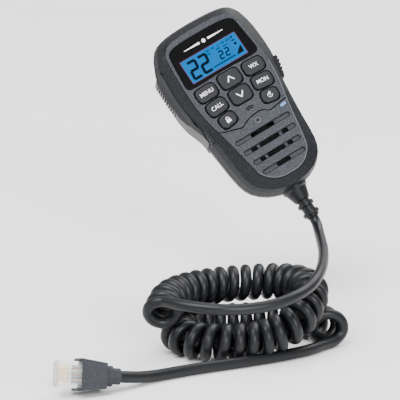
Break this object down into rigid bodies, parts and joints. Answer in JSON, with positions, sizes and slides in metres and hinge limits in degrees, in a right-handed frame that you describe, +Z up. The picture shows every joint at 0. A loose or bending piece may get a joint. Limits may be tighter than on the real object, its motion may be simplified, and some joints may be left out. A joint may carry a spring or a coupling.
{
  "type": "hand microphone",
  "caption": "Amateur radio hand microphone with a lit display, keypad, speaker grille, side talk lever and hang button, on a curly cord that ends in a clear modular plug.",
  "frame": {"origin": "centre of the hang button's head, on its axis", "axes": "+Z up, -Y towards the viewer of the face, +X to the viewer's right; the handset leans back 27 degrees and is rolled 30.5 degrees in its face plane, with its top towards -X"},
  "size_m": [0.1458, 0.2084, 0.1567],
  "materials": {
    "case_front": "fine texture",
    "case_rear": "fine texture",
    "seal": "satin",
    "face": "fine texture",
    "window": "polished",
    "frame_white": "smooth",
    "lcd": "polished",
    "backlight": "smooth",
    "strip": "satin",
    "keys": "satin",
    "mat": "satin",
    "domes": "smooth",
    "board": "smooth",
    "chips": "smooth",
    "header": "smooth",
    "lens": "polished",
    "felt": "woven",
    "speaker_metal": "smooth",
    "cone": "pressed",
    "magnet": "smooth",
    "capsule": "smooth",
    "lever": "satin",
    "steel": "smooth",
    "button_metal": "satin",
    "cord_rubber": "satin",
    "boot": "satin",
    "plug_clear": "clear",
    "contacts": "polished",
    "wires": "smooth"
  },
  "bodies": {
    "case": {"front_shell": "case_front", "rear_shell": "case_rear", "shell_gasket": "seal", "face_plate": "face", "display_window": "window", "lcd_frame": "frame_white", "lcd_glass": "lcd", "lcd_backlight": "backlight", "lcd_connector": "strip", "keypad_mat": "mat", "dome_switches": "domes", "main_board": "board", "board_chips": "chips", "cord_header": "header", "status_light": "lens", "speaker_felt": "felt", "speaker_frame": "speaker_metal", "speaker_cone": "cone", "speaker_magnet": "magnet", "mic_capsule": "capsule", "mic_boot": "seal", "ptt_pin": "steel", "ptt_seal": "seal", "ptt_switch": "chips", "side_grip": "seal", "case_screws": "steel", "hang_button": "button_metal", "hang_screw": "steel", "strain_relief": "cord_rubber", "cord_clamp": "frame_white", "cord_lead": "cord_rubber", "cord_coil": "cord_rubber", "cord_tail": "cord_rubber", "plug_boot": "boot", "plug_body": "plug_clear", "plug_contacts": "contacts", "plug_wires": "wires"},
    "key_menu_cap": {"key_menu": "keys"},
    "key_call_cap": {"key_call": "keys"},
    "key_lock_cap": {"key_lock": "keys"},
    "key_up_cap": {"key_up": "keys"},
    "key_down_cap": {"key_down": "keys"},
    "key_weather_cap": {"key_weather": "keys"},
    "key_monitor_cap": {"key_monitor": "keys"},
    "key_scan_cap": {"key_scan": "keys"},
    "talk_lever": {"ptt_lever": "lever"},
    "latch_arm": {"plug_latch": "plug_clear"}
  },
  "joints": [
    {"name": "key_menu_press", "type": "slide", "parent": "case", "child": "key_menu_cap", "axis": [0, 0.891, -0.454], "range_m": [0, 0.0008], "stiffness_N_per_m": 600, "springref_m": -0.0003},
    {"name": "key_call_press", "type": "slide", "parent": "case", "child": "key_call_cap", "axis": [0, 0.891, -0.454], "range_m": [0, 0.0008], "stiffness_N_per_m": 600, "springref_m": -0.0003},
    {"name": "key_lock_press", "type": "slide", "parent": "case", "child": "key_lock_cap", "axis": [0, 0.891, -0.454], "range_m": [0, 0.0008], "stiffness_N_per_m": 600, "springref_m": -0.0003},
    {"name": "key_up_press", "type": "slide", "parent": "case", "child": "key_up_cap", "axis": [0, 0.891, -0.454], "range_m": [0, 0.0008], "stiffness_N_per_m": 600, "springref_m": -0.0003},
    {"name": "key_down_press", "type": "slide", "parent": "case", "child": "key_down_cap", "axis": [0, 0.891, -0.454], "range_m": [0, 0.0008], "stiffness_N_per_m": 600, "springref_m": -0.0003},
    {"name": "key_weather_press", "type": "slide", "parent": "case", "child": "key_weather_cap", "axis": [0, 0.891, -0.454], "range_m": [0, 0.0008], "stiffness_N_per_m": 600, "springref_m": -0.0003},
    {"name": "key_monitor_press", "type": "slide", "parent": "case", "child": "key_monitor_cap", "axis": [0, 0.891, -0.454], "range_m": [0, 0.0008], "stiffness_N_per_m": 600, "springref_m": -0.0003},
    {"name": "key_scan_press", "type": "slide", "parent": "case", "child": "key_scan_cap", "axis": [0, 0.891, -0.454], "range_m": [0, 0.0008], "stiffness_N_per_m": 600, "springref_m": -0.0003},
    {"name": "talk_press", "type": "hinge", "parent": "case", "child": "talk_lever", "pos_m": [-0.00959, -0.03234, -0.01722], "axis": [0, 0.891, -0.454], "range_deg": [0, 3], "stiffness_Nm_per_rad": 1, "springref_deg": -1.72},
    {"name": "latch_flex", "type": "hinge", "parent": "case", "child": "latch_arm", "pos_m": [-0.09612, -0.18819, -0.09576], "axis": [-0.0733, -0.3315, -0.9406], "range_deg": [0, 7], "stiffness_Nm_per_rad": 0.05, "springref_deg": -1.72}
  ]
}
